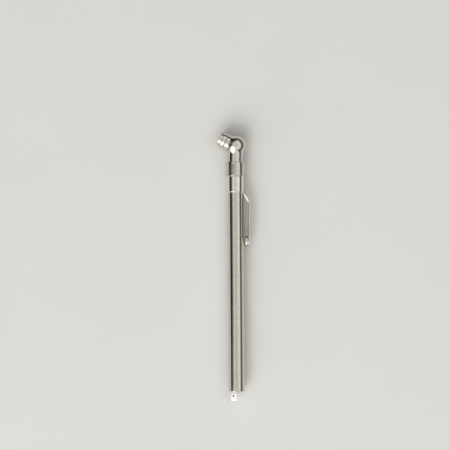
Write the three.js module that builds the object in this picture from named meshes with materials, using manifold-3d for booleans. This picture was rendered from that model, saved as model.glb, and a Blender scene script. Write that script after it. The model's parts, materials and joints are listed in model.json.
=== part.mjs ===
// Pencil-type tyre pressure gauge, in millimetres.
// The barrel lies along Y with its head at +Y and its pocket clip at +X; +Z is up.
// While it is being built, the barrel's axis is x = 0, z = 0 and the tube's tail end is y = 0.
import * as THREE from 'three';
import { mergeVertices } from 'three/addons/utils/BufferGeometryUtils.js';
import Module from 'manifold-3d';

const wasm = await Module();
wasm.setup();

// ---- driving dimensions ----
const ROUND_SEGMENTS = 48;
const FINE_SEGMENTS = 24;
const EDGE_STEPS = 3;
const DOME_STEPS = 4;

// A cutting body runs this far past the face it opens.
const OVERCUT = 1;

// Barrel tube, with its tail end rolled inwards.
const TUBE_R = 4.75;
const TUBE_BORE_R = 4.35;
const TUBE_LENGTH = 129;
const TUBE_LIP_R = 3.95;
const TUBE_LIP_DEPTH = 0.6;
const TUBE_EDGE = 0.25;

// Pieces that are assembled without a fit keep this much room.
const PLAY = 0.1;

// Indicator bar: a square bar that runs off centre in the guide at the tail of the tube.
const BAR_X = -1.6;
const BAR_HALF = 1.4;
const BAR_INNER_END_Y = 100.1;
const BAR_FOOT_LENGTH = 3;
const BAR_FOOT_X = 2.8;
const BAR_DEPTH_IN_TIP = 1;
const TIP_HALF = 1.7;
const TIP_INNER_Y = -1.35;
const TIP_OUTER_Y = -5.6;
const TIP_CHAMFER = 0.5;
const TIP_X = -1.7;
const DIMPLE_X = -2.0;
const DIMPLE_Y = -2.6;
const DIMPLE_R = 0.5;
const DIMPLE_DEPTH = 1.2;

// Guide bush and friction washer in the tail of the tube.
const GUIDE_R = 4.25;
const GUIDE_START_Y = 0.75;
const GUIDE_END_Y = 6;
const WASHER_START_Y = 6.1;
const WASHER_END_Y = 7.1;
const WASHER_R = 4.2;
const WASHER_PLAY = 0.05;

// Calibrated compression spring between the friction washer and the piston.
const SPRING_R = 3.85;
const SPRING_WIRE_R = 0.25;
const SPRING_TURNS = 26;
const SPRING_STEPS_PER_TURN = 12;
const SPRING_START_Y = 7.5;
const SPRING_END_Y = 99.8;

// Piston, with a rubber cup held on by a washer and a screw.
const PISTON_START_Y = 100.2;
const PISTON_END_Y = 105.2;
const PISTON_R = 4.25;
const PISTON_EDGE = 0.3;
const PISTON_HOLE_R = 0.85;
const PISTON_HOLE_DEPTH = 3.4;
const CUP_START_Y = 105.3;
const CUP_FLOOR_Y = 106.5;
const CUP_END_Y = 109.5;
const CUP_R = 4.28;
const CUP_LIP_R = 3.6;
const CUP_HOLE_R = 0.95;
const CUP_EDGE = 0.2;
const CUP_HEEL = 0.6;
const CUP_WASHER_R = 2.7;
const CUP_WASHER_START_Y = 106.6;
const CUP_WASHER_END_Y = 107.2;
const SCREW_SHANK_R = 0.75;
const SCREW_START_Y = 102;
const SCREW_SEAT_Y = 107.3;
const SCREW_HEAD_R = 1.7;
const SCREW_HEAD_HEIGHT = 1.2;
const SCREW_SLOT_WIDTH = 0.4;
const SCREW_SLOT_DEPTH = 0.5;
const SCREW_EDGE = 0.25;

// Collar that joins the tube to the head, and the gasket inside it.
const COLLAR_START_Y = 125.2;
const COLLAR_END_Y = 133.7;
const COLLAR_R = 5.57;
const COLLAR_CHAMFER = 0.35;
const COLLAR_STEP_Y = 129.4;
const GASKET_START_Y = 129.15;
const GASKET_END_Y = 129.85;
const GASKET_R = 4.6;
const GASKET_HOLE_R = 3.7;

// Head: a ball on a neck, with a spigot down into the tube and the chuck out of its side.
const SPIGOT_START_Y = 112;
const SPIGOT_END_Y = 128.9;
const SPIGOT_R = 4.25;
const SPIGOT_CHAMFER = 0.1;
const SPIGOT_BORE_R = 2.6;
const SPIGOT_BORE_END_Y = 131;
const RELIEF_R = 3.6;
const NECK_START_Y = 130;
const NECK_R = 4.65;
const BALL_X = 0.55;
const BALL_Y = 143.2;
const BALL_R = 6.06;
const AIR_PASSAGE_R = 1;
const NECK_END_Y = 140.17;

// Chuck: its axis leaves the ball towards -X, tilted towards the head end, and passes just
// below the ball's centre. Distances along it are from the point nearest to that centre.
const CHUCK_TILT_DEG = 26;
const CHUCK_X = 0.38;
const CHUCK_Y = 142.84;
const CHUCK_R = 4.8;
const CHUCK_SHOULDER = 8.9;
const CHUCK_EDGE = 0.35;
const CHUCK_RING_GROOVE = 6.5;
const CHUCK_RING_GROOVE_HALF = 0.3;
const CHUCK_RING_GROOVE_R = 4.6;
const CHUCK_NECK_R = 4.15;
const CHUCK_LIP_START = 9.3;
const CHUCK_LIP_R = 4.3;
const CHUCK_END = 10.7;
const CHUCK_LIP_EDGE = 0.12;
const MOUTH_R = 3.9;
const MOUTH_COUNTERSINK = 0.1;
const SEAL_SEAT = 3.3;
const SEAL_GROOVE_R = 4.25;
const SEAL_GROOVE_END = 5.9;
const SEAL_START = 3.5;
const SEAL_END = 5.7;
const SEAL_R = 4.05;
const SEAL_FACE_R = 3.7;
const SEAL_HOLE_R = 1.7;
const SEAL_EDGE = 0.3;
const AIR_CHAMBER_R = 2.2;
const PIN_R = 0.7;
const PIN_HOLE_R = 0.9;
const PIN_TAIL = -2.6;
const PIN_HOLE_TAIL = -2.8;
const PIN_TIP = 6.9;

// Deflator: a shallow cone on the ball's other side with a small pin at its tip.
const DEFLATOR_TILT_DEG = 18;
const DEFLATOR_BASE_R = 2.4;
const DEFLATOR_TOP_R = 0.95;
const DEFLATOR_TOP = 6.45;
const DEFLATOR_BASE = 5.5;
const DEFLATOR_PIN_R = 0.55;
const DEFLATOR_HOLE_R = 0.7;
const DEFLATOR_PIN_TAIL = 3.6;
const DEFLATOR_HOLE_TAIL = 3.4;
const DEFLATOR_PIN_TIP = 6.75;

// Pocket clip: a thin band round the tube, and a crowned sprung arm with a pressed pad.
const BAND_START_Y = 115.5;
const BAND_END_Y = 125.1;
const BAND_R = 5.05;
const BAND_BORE_R = 4.8;
const BAND_ROLL_HEIGHT = 0.7;
const BAND_GROOVE_R = 4.95;
const ARM_THICKNESS = 0.5;
const ARM_HALF_WIDTH = 2.2;
const ARM_CROWN = 0.7;
const ARM_ROOT_X = 4.85;
const ARM_ROOT_Y = 115.35;
const ARM_SHOULDER_Y = 111;
const ARM_BEND_LENGTH = 1.6;
const ARM_X = 8.05;
const ARM_STRAIGHT_END_Y = 91;
const ARM_END_X = 7.3;
const ARM_END_Y = 84.3;
const ARM_END_ROUNDING = 3;
const ARM_STEPS = 44;
const ARM_TRIM_REACH = 5;
const PAD_X = 6.42;
const PAD_Y = 87.4;
const PAD_HALF = [1.55, 3.2, 1.9];

// ---- materials ----
function metal(name, color, roughness) {
  return new THREE.MeshStandardMaterial({ name, color, roughness, metalness: 1 });
}

function plastic(name, color, roughness) {
  return new THREE.MeshStandardMaterial({ name, color, roughness, metalness: 0 });
}

const CHROME = () => metal('chrome', 0xd9dadc, 0.1);
const BRASS = () => metal('brass', 0xc9a24d, 0.3);
const STEEL = () => metal('steel', 0x9a9ca0, 0.3);
const NYLON = () => plastic('nylon', 0xf4f2ec, 0.45);
const RUBBER = () => plastic('rubber', 0x1c1c1e, 0.8);
const FIBRE = () => plastic('fibre', 0x7a2f22, 0.9);

// ---- geometry helpers ----
const gauge = new THREE.Group();
gauge.name = 'tire_pressure_gauge';

function addPart(name, geometry, material) {
  const mesh = new THREE.Mesh(geometry, material);
  mesh.name = name;
  gauge.add(mesh);
  return mesh;
}

// A solid of revolution about Y. The profile lists [radius, y] counter-clockwise.
function turned(profile, segments = ROUND_SEGMENTS) {
  const points = profile.map(([r, y]) => new THREE.Vector2(r, y));
  const closed = points[0].x > 0;
  if (closed) {
    points.push(points[0].clone());
  }
  return new THREE.LatheGeometry(points, segments);
}

// Points [radius, y] on an arc; 0 degrees is outwards and 90 degrees is along +Y.
function arcPoints(centreR, centreY, radius, startDeg, endDeg, steps) {
  const points = [];
  for (let i = 0; i <= steps; i += 1) {
    const angle = THREE.MathUtils.degToRad(startDeg + ((endDeg - startDeg) * i) / steps);
    points.push([centreR + radius * Math.cos(angle), centreY + radius * Math.sin(angle)]);
  }
  return points;
}

// A plain cylinder along Y from one height to another.
function rod(radius, startY, endY, segments = FINE_SEGMENTS) {
  return turned([[0, startY], [radius, startY], [radius, endY], [0, endY]], segments);
}

// A ring along Y with square edges.
function ring(innerR, outerR, startY, endY) {
  return turned([[innerR, startY], [outerR, startY], [outerR, endY], [innerR, endY]]);
}

function box(minX, maxX, minY, maxY, halfZ) {
  const geometry = new THREE.BoxGeometry(maxX - minX, maxY - minY, 2 * halfZ);
  geometry.translate((minX + maxX) / 2, (minY + maxY) / 2, 0);
  return geometry;
}

function toSolid(geometry) {
  const bare = geometry.clone();
  bare.deleteAttribute('normal');
  bare.deleteAttribute('uv');
  const merged = mergeVertices(bare.index ? bare : mergeVertices(bare));
  const corners = merged.index.array;
  const triangles = [];
  for (let i = 0; i < corners.length; i += 3) {
    const [a, b, c] = [corners[i], corners[i + 1], corners[i + 2]];
    if (a !== b && b !== c && c !== a) {
      triangles.push(a, b, c);
    }
  }
  const mesh = new wasm.Mesh({
    numProp: 3,
    vertProperties: new Float32Array(merged.attributes.position.array),
    triVerts: new Uint32Array(triangles),
  });
  mesh.merge();
  return new wasm.Manifold(mesh);
}

function toGeometry(solid) {
  const mesh = solid.getMesh();
  const geometry = new THREE.BufferGeometry();
  geometry.setAttribute('position', new THREE.BufferAttribute(mesh.vertProperties, 3));
  geometry.setIndex(new THREE.BufferAttribute(mesh.triVerts, 1));
  geometry.computeVertexNormals();
  return geometry;
}

function unite(geometries) {
  return geometries.map(toSolid).reduce((sum, solid) => sum.add(solid));
}

// ---- barrel ----
function barrelTube() {
  return turned([
    [TUBE_LIP_R, 0],
    ...arcPoints(TUBE_R - TUBE_EDGE, TUBE_EDGE, TUBE_EDGE, -90, 0, EDGE_STEPS),
    [TUBE_R, TUBE_LENGTH],
    [TUBE_BORE_R, TUBE_LENGTH],
    [TUBE_BORE_R, TUBE_LIP_DEPTH],
    [TUBE_LIP_R, TUBE_LIP_DEPTH],
  ]);
}

// A disc in the tube with a square hole for the indicator bar.
function squareHoledDisc(radius, startY, endY, play) {
  const disc = toSolid(rod(radius, startY, endY, ROUND_SEGMENTS));
  const half = BAR_HALF + play;
  const hole = toSolid(box(BAR_X - half, BAR_X + half, startY - OVERCUT, endY + OVERCUT, half));
  return toGeometry(disc.subtract(hole));
}

// ---- indicator bar ----
function tipOutline() {
  const outline = new THREE.Shape();
  outline.moveTo(TIP_X - TIP_HALF, TIP_INNER_Y);
  outline.lineTo(TIP_X - TIP_HALF, TIP_OUTER_Y + TIP_CHAMFER);
  outline.lineTo(TIP_X - TIP_HALF + TIP_CHAMFER, TIP_OUTER_Y);
  outline.lineTo(TIP_X + TIP_HALF - TIP_CHAMFER, TIP_OUTER_Y);
  outline.lineTo(TIP_X + TIP_HALF, TIP_OUTER_Y + TIP_CHAMFER);
  outline.lineTo(TIP_X + TIP_HALF, TIP_INNER_Y);
  return outline;
}

function indicatorBar() {
  const bar = box(
    BAR_X - BAR_HALF, BAR_X + BAR_HALF,
    TIP_INNER_Y - BAR_DEPTH_IN_TIP, BAR_INNER_END_Y,
    BAR_HALF,
  );
  const foot = box(
    BAR_X, BAR_FOOT_X,
    BAR_INNER_END_Y - BAR_FOOT_LENGTH, BAR_INNER_END_Y,
    BAR_HALF,
  );
  const tip = new THREE.ExtrudeGeometry(tipOutline(), { depth: 2 * TIP_HALF, bevelEnabled: false });
  tip.translate(0, 0, -TIP_HALF);
  const dimple = new THREE.CylinderGeometry(DIMPLE_R, DIMPLE_R, 2 * DIMPLE_DEPTH, FINE_SEGMENTS);
  dimple.rotateX(Math.PI / 2);
  dimple.translate(DIMPLE_X, DIMPLE_Y, TIP_HALF);
  return toGeometry(unite([bar, foot, tip]).subtract(toSolid(dimple)));
}

// ---- spring ----
class Helix extends THREE.Curve {
  getPoint(t, target = new THREE.Vector3()) {
    const angle = 2 * Math.PI * SPRING_TURNS * t;
    const y = SPRING_START_Y + (SPRING_END_Y - SPRING_START_Y) * t;
    return target.set(SPRING_R * Math.cos(angle), y, SPRING_R * Math.sin(angle));
  }
}

function compressionSpring() {
  const sectionSides = 5;
  const section = new THREE.Shape();
  for (let i = 0; i < sectionSides; i += 1) {
    const angle = (2 * Math.PI * i) / sectionSides;
    const x = SPRING_WIRE_R * Math.cos(angle);
    const y = SPRING_WIRE_R * Math.sin(angle);
    if (i === 0) {
      section.moveTo(x, y);
    } else {
      section.lineTo(x, y);
    }
  }
  return new THREE.ExtrudeGeometry(section, {
    steps: SPRING_TURNS * SPRING_STEPS_PER_TURN,
    extrudePath: new Helix(),
  });
}

// ---- piston ----
function pistonBody() {
  return turned([
    [0, PISTON_START_Y],
    [PISTON_R - PISTON_EDGE, PISTON_START_Y],
    [PISTON_R, PISTON_START_Y + PISTON_EDGE],
    [PISTON_R, PISTON_END_Y - PISTON_EDGE],
    [PISTON_R - PISTON_EDGE, PISTON_END_Y],
    [PISTON_HOLE_R, PISTON_END_Y],
    [PISTON_HOLE_R, PISTON_END_Y - PISTON_HOLE_DEPTH],
    [0, PISTON_END_Y - PISTON_HOLE_DEPTH],
  ]);
}

function pistonCup() {
  return turned([
    [CUP_HOLE_R, CUP_START_Y],
    [CUP_R - CUP_HEEL, CUP_START_Y],
    [CUP_R, CUP_START_Y + CUP_HEEL],
    [CUP_R, CUP_END_Y - CUP_EDGE],
    [CUP_R - CUP_EDGE, CUP_END_Y],
    [CUP_LIP_R + CUP_EDGE, CUP_END_Y],
    [CUP_LIP_R, CUP_FLOOR_Y],
    [CUP_HOLE_R, CUP_FLOOR_Y],
  ]);
}

function pistonScrew() {
  const headEndY = SCREW_SEAT_Y + SCREW_HEAD_HEIGHT;
  const blank = turned([
    [0, SCREW_START_Y],
    [SCREW_SHANK_R - SCREW_EDGE, SCREW_START_Y],
    [SCREW_SHANK_R, SCREW_START_Y + SCREW_EDGE],
    [SCREW_SHANK_R, SCREW_SEAT_Y],
    [SCREW_HEAD_R, SCREW_SEAT_Y],
    [SCREW_HEAD_R, headEndY - SCREW_EDGE],
    [SCREW_HEAD_R - SCREW_EDGE, headEndY],
    [0, headEndY],
  ], FINE_SEGMENTS);
  const slot = box(
    -2 * SCREW_HEAD_R, 2 * SCREW_HEAD_R,
    headEndY - SCREW_SLOT_DEPTH, headEndY + OVERCUT,
    SCREW_SLOT_WIDTH / 2,
  );
  return toGeometry(toSolid(blank).subtract(toSolid(slot)));
}

// ---- collar ----
function collar() {
  const lowerBoreR = TUBE_R + PLAY;
  const upperBoreR = NECK_R + PLAY;
  return turned([
    [lowerBoreR, COLLAR_START_Y],
    [COLLAR_R - COLLAR_CHAMFER, COLLAR_START_Y],
    [COLLAR_R, COLLAR_START_Y + COLLAR_CHAMFER],
    [COLLAR_R, COLLAR_END_Y - COLLAR_CHAMFER],
    [COLLAR_R - COLLAR_CHAMFER, COLLAR_END_Y],
    [upperBoreR, COLLAR_END_Y],
    [upperBoreR, COLLAR_STEP_Y],
    [lowerBoreR, COLLAR_STEP_Y],
  ]);
}

// ---- head ----
// Puts a piece made along +Y on the chuck's axis, pointing out of the mouth.
function onChuck(geometry) {
  geometry.rotateZ(THREE.MathUtils.degToRad(90 - CHUCK_TILT_DEG));
  geometry.translate(CHUCK_X, CHUCK_Y, 0);
  return geometry;
}

// Puts a piece made along +Y on the deflator's axis, pointing out of the ball.
function onDeflator(geometry) {
  geometry.rotateZ(THREE.MathUtils.degToRad(DEFLATOR_TILT_DEG - 90));
  geometry.translate(BALL_X, BALL_Y, 0);
  return geometry;
}

function chuckOuter() {
  return onChuck(turned([
    [0, 0],
    [CHUCK_R, 0],
    [CHUCK_R, CHUCK_RING_GROOVE - CHUCK_RING_GROOVE_HALF],
    [CHUCK_RING_GROOVE_R, CHUCK_RING_GROOVE],
    [CHUCK_R, CHUCK_RING_GROOVE + CHUCK_RING_GROOVE_HALF],
    [CHUCK_R, CHUCK_SHOULDER - CHUCK_EDGE],
    [CHUCK_R - CHUCK_EDGE, CHUCK_SHOULDER],
    [CHUCK_NECK_R, CHUCK_SHOULDER],
    [CHUCK_NECK_R, CHUCK_LIP_START],
    [CHUCK_LIP_R, CHUCK_LIP_START],
    [CHUCK_LIP_R, CHUCK_END - CHUCK_LIP_EDGE],
    [CHUCK_LIP_R - CHUCK_LIP_EDGE, CHUCK_END],
    [0, CHUCK_END],
  ]));
}

// Everything that is hollow along the chuck's axis, from the pin's hole out to the mouth.
function chuckHollow() {
  return onChuck(turned([
    [0, PIN_HOLE_TAIL],
    [PIN_HOLE_R, PIN_HOLE_TAIL],
    [PIN_HOLE_R, 0],
    [AIR_CHAMBER_R, 0],
    [AIR_CHAMBER_R, SEAL_SEAT],
    [SEAL_GROOVE_R, SEAL_SEAT],
    [SEAL_GROOVE_R, SEAL_GROOVE_END],
    [MOUTH_R, SEAL_GROOVE_END],
    [MOUTH_R, CHUCK_END - MOUTH_COUNTERSINK],
    [MOUTH_R + MOUTH_COUNTERSINK, CHUCK_END],
    [MOUTH_R + MOUTH_COUNTERSINK, CHUCK_END + OVERCUT],
    [0, CHUCK_END + OVERCUT],
  ]));
}

function deflatorCone() {
  return onDeflator(turned([
    [0, 0],
    [DEFLATOR_BASE_R, 0],
    [DEFLATOR_BASE_R, DEFLATOR_BASE],
    [DEFLATOR_TOP_R, DEFLATOR_TOP],
    [0, DEFLATOR_TOP],
  ]));
}

function headBody() {
  const stem = turned([
    [0, SPIGOT_START_Y],
    [SPIGOT_R - SPIGOT_CHAMFER, SPIGOT_START_Y],
    [SPIGOT_R, SPIGOT_START_Y + SPIGOT_CHAMFER],
    [SPIGOT_R, SPIGOT_END_Y],
    [RELIEF_R, SPIGOT_END_Y],
    [RELIEF_R, NECK_START_Y],
    [NECK_R, NECK_START_Y],
    [NECK_R, NECK_END_Y],
    [0, BALL_Y],
  ]);
  const ball = new THREE.SphereGeometry(BALL_R, ROUND_SEGMENTS, FINE_SEGMENTS);
  ball.translate(BALL_X, BALL_Y, 0);
  const outside = unite([stem, ball, chuckOuter(), deflatorCone()]);
  const hollows = [
    chuckHollow(),
    rod(SPIGOT_BORE_R, SPIGOT_START_Y - OVERCUT, SPIGOT_BORE_END_Y),
    rod(AIR_PASSAGE_R, SPIGOT_BORE_END_Y - OVERCUT, BALL_Y),
    onDeflator(rod(DEFLATOR_HOLE_R, DEFLATOR_HOLE_TAIL, DEFLATOR_PIN_TIP)),
  ];
  return toGeometry(hollows.map(toSolid).reduce((body, hollow) => body.subtract(hollow), outside));
}

// The seal's front face is a little smaller than the mouth, so that a valve meets it squarely.
function valveSeal() {
  const chamfer = SEAL_R - SEAL_FACE_R;
  return onChuck(turned([
    [SEAL_HOLE_R, SEAL_START],
    [SEAL_R, SEAL_START],
    [SEAL_R, SEAL_END - chamfer],
    [SEAL_FACE_R, SEAL_END],
    [SEAL_HOLE_R + SEAL_EDGE, SEAL_END],
    [SEAL_HOLE_R, SEAL_END - SEAL_EDGE],
  ]));
}

// A straight pin along Y with a rounded tip.
function tippedPin(radius, tail, tip) {
  const dome = arcPoints(0, tip - radius, radius, 0, 90, DOME_STEPS).slice(0, -1);
  return turned([[0, tail], [radius, tail], ...dome, [0, tip]], FINE_SEGMENTS);
}

// ---- clip ----
function clipBand() {
  const rollTopY = BAND_START_Y + BAND_ROLL_HEIGHT;
  const rollEdge = BAND_R - BAND_GROOVE_R;
  return turned([
    [BAND_BORE_R, BAND_START_Y],
    [BAND_GROOVE_R, BAND_START_Y],
    [BAND_R, BAND_START_Y + rollEdge],
    [BAND_R, rollTopY - rollEdge],
    [BAND_GROOVE_R, rollTopY],
    [BAND_R, rollTopY + rollEdge],
    [BAND_R, BAND_END_Y],
    [BAND_BORE_R, BAND_END_Y],
  ]);
}

// The arm's centre line, from its root at the band down to its free end.
function armPath() {
  const root = new THREE.Vector3(ARM_ROOT_X + ARM_THICKNESS / 2, ARM_ROOT_Y, 0);
  const shoulder = new THREE.Vector3(ARM_X, ARM_SHOULDER_Y, 0);
  const bend = new THREE.Vector3(ARM_X, ARM_STRAIGHT_END_Y, 0);
  const end = new THREE.Vector3(ARM_END_X, ARM_END_Y, 0);
  const lean = shoulder.clone().sub(root).normalize();
  const above = shoulder.clone().addScaledVector(lean, -ARM_BEND_LENGTH);
  const below = new THREE.Vector3(ARM_X, ARM_SHOULDER_Y - ARM_BEND_LENGTH, 0);
  const path = new THREE.CurvePath();
  path.add(new THREE.LineCurve3(root, above));
  path.add(new THREE.QuadraticBezierCurve3(above, shoulder, below));
  path.add(new THREE.LineCurve3(below, bend));
  path.add(new THREE.QuadraticBezierCurve3(
    bend,
    new THREE.Vector3(ARM_X, (ARM_STRAIGHT_END_Y + ARM_END_Y) / 2, 0),
    end,
  ));
  return path;
}

// The arm's crowned cross-section: its width across, its thickness outwards.
function armSection() {
  const crownR = (ARM_HALF_WIDTH ** 2 + ARM_CROWN ** 2) / (2 * ARM_CROWN);
  const halfAngle = Math.asin(ARM_HALF_WIDTH / crownR);
  const arcSteps = 6;
  const section = new THREE.Shape();
  const outerR = crownR + ARM_THICKNESS / 2;
  const innerR = crownR - ARM_THICKNESS / 2;
  for (let i = 0; i <= arcSteps; i += 1) {
    const angle = halfAngle * (1 - (2 * i) / arcSteps);
    const x = outerR * Math.sin(angle);
    const y = outerR * Math.cos(angle) - crownR;
    if (i === 0) {
      section.moveTo(x, y);
    } else {
      section.lineTo(x, y);
    }
  }
  for (let i = arcSteps; i >= 0; i -= 1) {
    const angle = halfAngle * (1 - (2 * i) / arcSteps);
    section.lineTo(innerR * Math.sin(angle), innerR * Math.cos(angle) - crownR);
  }
  return section;
}

// The arm as seen from +X: straight sides and a rounded free end, as a solid to trim it with.
function armOutline() {
  const roundingY = ARM_END_Y + ARM_END_ROUNDING;
  const end = new THREE.CylinderGeometry(
    ARM_HALF_WIDTH, ARM_HALF_WIDTH, 2 * ARM_TRIM_REACH,
    ROUND_SEGMENTS,
  );
  end.rotateZ(Math.PI / 2);
  end.scale(1, ARM_END_ROUNDING / ARM_HALF_WIDTH, 1);
  end.translate(ARM_X, roundingY, 0);
  const rest = box(
    ARM_X - ARM_TRIM_REACH, ARM_X + ARM_TRIM_REACH,
    roundingY, ARM_ROOT_Y + ARM_TRIM_REACH,
    ARM_TRIM_REACH,
  );
  return unite([end, rest]);
}

function clipArm() {
  const strip = new THREE.ExtrudeGeometry(armSection(), {
    steps: ARM_STEPS,
    extrudePath: armPath(),
  });
  const pad = new THREE.SphereGeometry(1, FINE_SEGMENTS, FINE_SEGMENTS / 2);
  pad.scale(...PAD_HALF);
  pad.translate(PAD_X, PAD_Y, 0);
  return toGeometry(toSolid(strip).intersect(armOutline()).add(toSolid(pad)));
}

// ---- assembly ----
addPart('barrel_tube', barrelTube(), CHROME());
addPart('end_guide', squareHoledDisc(GUIDE_R, GUIDE_START_Y, GUIDE_END_Y, PLAY), NYLON());
addPart(
  'friction_washer',
  squareHoledDisc(WASHER_R, WASHER_START_Y, WASHER_END_Y, WASHER_PLAY),
  RUBBER(),
);
addPart('indicator_bar', indicatorBar(), NYLON());
addPart('compression_spring', compressionSpring(), STEEL());
addPart('piston_body', pistonBody(), BRASS());
addPart('piston_cup', pistonCup(), RUBBER());
addPart('cup_washer', ring(CUP_HOLE_R, CUP_WASHER_R, CUP_WASHER_START_Y, CUP_WASHER_END_Y), BRASS());
addPart('piston_screw', pistonScrew(), STEEL());
addPart('collar', collar(), CHROME());
addPart('head_gasket', ring(GASKET_HOLE_R, GASKET_R, GASKET_START_Y, GASKET_END_Y), FIBRE());
addPart('head_body', headBody(), CHROME());
addPart('valve_seal', valveSeal(), RUBBER());
addPart('depressor_pin', onChuck(tippedPin(PIN_R, PIN_TAIL, PIN_TIP)), BRASS());
addPart(
  'deflator_pin',
  onDeflator(tippedPin(DEFLATOR_PIN_R, DEFLATOR_PIN_TAIL, DEFLATOR_PIN_TIP)),
  STEEL(),
);
addPart('clip_band', clipBand(), CHROME());
addPart('clip_arm', clipArm(), CHROME());

// The origin is under the middle of the whole gauge, at the height of its lowest point.
const bounds = new THREE.Box3().setFromObject(gauge);
const middle = bounds.getCenter(new THREE.Vector3());
for (const mesh of gauge.children) {
  mesh.geometry.translate(-middle.x, -middle.y, -bounds.min.z);
}

export default gauge;
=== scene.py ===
"""Looks of the pencil tyre gauge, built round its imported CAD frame. Metres, same frame as the CAD."""
import json
import math

import bmesh
import bpy
from mathutils import Matrix, Vector


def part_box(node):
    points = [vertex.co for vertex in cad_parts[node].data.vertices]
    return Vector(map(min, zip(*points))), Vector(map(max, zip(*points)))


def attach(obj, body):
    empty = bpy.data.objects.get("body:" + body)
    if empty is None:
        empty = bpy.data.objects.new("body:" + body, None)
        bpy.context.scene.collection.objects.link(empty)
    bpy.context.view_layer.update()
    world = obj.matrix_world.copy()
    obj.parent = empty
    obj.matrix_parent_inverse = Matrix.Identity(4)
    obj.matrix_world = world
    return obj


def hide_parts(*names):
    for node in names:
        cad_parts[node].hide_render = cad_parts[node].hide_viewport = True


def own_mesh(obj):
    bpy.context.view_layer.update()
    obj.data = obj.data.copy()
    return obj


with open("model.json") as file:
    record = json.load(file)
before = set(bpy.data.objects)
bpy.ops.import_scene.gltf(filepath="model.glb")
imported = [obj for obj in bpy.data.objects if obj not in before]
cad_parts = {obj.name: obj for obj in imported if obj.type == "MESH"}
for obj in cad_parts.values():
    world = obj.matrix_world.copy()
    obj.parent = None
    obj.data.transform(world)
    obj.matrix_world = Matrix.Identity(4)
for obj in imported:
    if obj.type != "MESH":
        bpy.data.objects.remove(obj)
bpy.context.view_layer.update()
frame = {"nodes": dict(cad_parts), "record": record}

MM = 0.001
# Segments round a large, a small and a tiny turned piece.
ROUND = 128
FINE = 64
TINY = 32
# Edges that turn by more than this are left sharp.
SHARP_DEG = 35


# ---- places, all from the frame ----
def axis_of(node):
    """Middle of a turned node, as seen along the barrel."""
    low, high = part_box(node)
    return Vector(((low.x + high.x) / 2, 0, (low.z + high.z) / 2))


def radius_of(node):
    """Outer radius of a turned node that lies along the barrel."""
    low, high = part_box(node)
    return (high.z - low.z) / 2


def mount(name):
    """The record's mount of that name."""
    return next(m for m in frame["record"]["mounts"] if m["name"] == name)


BARREL = axis_of("barrel_tube")
TAIL_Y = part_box("barrel_tube")[0].y
HEAD_LOW, HEAD_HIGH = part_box("head_body")

BALL_R = (HEAD_HIGH.z - HEAD_LOW.z) / 2
BALL_ASIDE = 0.55 * MM
BALL_FROM_TAIL = 143.2 * MM
BALL = Vector((BARREL.x + BALL_ASIDE, TAIL_Y + BALL_FROM_TAIL, BARREL.z))
NECK_R = 4.65 * MM

# Lengths along the chuck are measured from its base, which is near the middle of the ball.
CHUCK_AXIS = Vector(mount("valve_seat")["axis"])
SEAL_FACE = 5.7 * MM
CHUCK_BASE = Vector(mount("valve_seat")["pos_m"]) - CHUCK_AXIS * SEAL_FACE
CHUCK_BASE.z = BARREL.z
CHUCK_R = 4.8 * MM
CHUCK_END = 10.7 * MM

DEFLATOR_TILT = math.radians(18)
DEFLATOR_AXIS = Vector((math.cos(DEFLATOR_TILT), math.sin(DEFLATOR_TILT), 0))


# ---- mesh helpers ----
def along(base, direction):
    """Matrix that puts a piece made along +Y at base, pointing in direction, with its +Z kept up."""
    forward = direction.normalized()
    up = Vector((0, 0, 1))
    side = forward.cross(up)
    turn = Matrix((side, forward, up)).transposed().to_4x4()
    return Matrix.Translation(base) @ turn


def arc(centre_r, centre_y, radius, start_deg, end_deg, steps):
    """Points [r, y] on an arc; 0 degrees points outwards and 90 degrees along +Y."""
    points = []
    for i in range(steps + 1):
        angle = math.radians(start_deg + (end_deg - start_deg) * i / steps)
        points.append((centre_r + radius * math.cos(angle), centre_y + radius * math.sin(angle)))
    return points


def new_object(name, bm, material):
    """A shaded object from bm, which is freed."""
    bmesh.ops.recalc_face_normals(bm, faces=bm.faces)
    mesh = bpy.data.meshes.new(name)
    bm.to_mesh(mesh)
    bm.free()
    obj = bpy.data.objects.new(name, mesh)
    bpy.context.scene.collection.objects.link(obj)
    mesh.shade_smooth()
    mesh.set_sharp_from_angle(angle=math.radians(SHARP_DEG))
    mesh.materials.append(material)
    return obj


def hold_edges(profile):
    """Adds a point close to both ends of every long stretch, so that its shading stays even."""
    reach = 0.08 * MM
    long_stretch = 0.4 * MM
    points = []
    for a, b in zip(profile, profile[1:]):
        points.append(a)
        length = math.hypot(b[0] - a[0], b[1] - a[1])
        if length > long_stretch:
            for share in (reach / length, 1 - reach / length):
                points.append(tuple(u + (v - u) * share for u, v in zip(a, b)))
    points.append(profile[-1])
    return points


def lathe(name, profile, place, material, segments=ROUND):
    """A closed solid of revolution about Y. The profile lists (r, y) or (r, y, shift along X)."""
    on_axis = 1e-7
    bm = bmesh.new()
    rings = []
    for point in hold_edges(profile):
        r, y = point[:2]
        shift = point[2] if len(point) > 2 else 0
        if r < on_axis:
            rings.append([bm.verts.new((shift, y, 0))])
            continue
        ring = []
        for k in range(segments):
            angle = 2 * math.pi * k / segments
            ring.append(bm.verts.new((shift + r * math.cos(angle), y, r * math.sin(angle))))
        rings.append(ring)
    pairs = list(zip(rings, rings[1:]))
    if len(rings[0]) > 1:
        pairs.append((rings[-1], rings[0]))
    for a, b in pairs:
        for k in range(segments):
            n = (k + 1) % segments
            if len(a) == 1 and len(b) == 1:
                break
            if len(a) == 1:
                bm.faces.new((a[0], b[k], b[n]))
            elif len(b) == 1:
                bm.faces.new((a[k], b[0], a[n]))
            else:
                bm.faces.new((a[k], b[k], b[n], a[n]))
    bm.transform(place)
    return new_object(name, bm, material)


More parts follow.
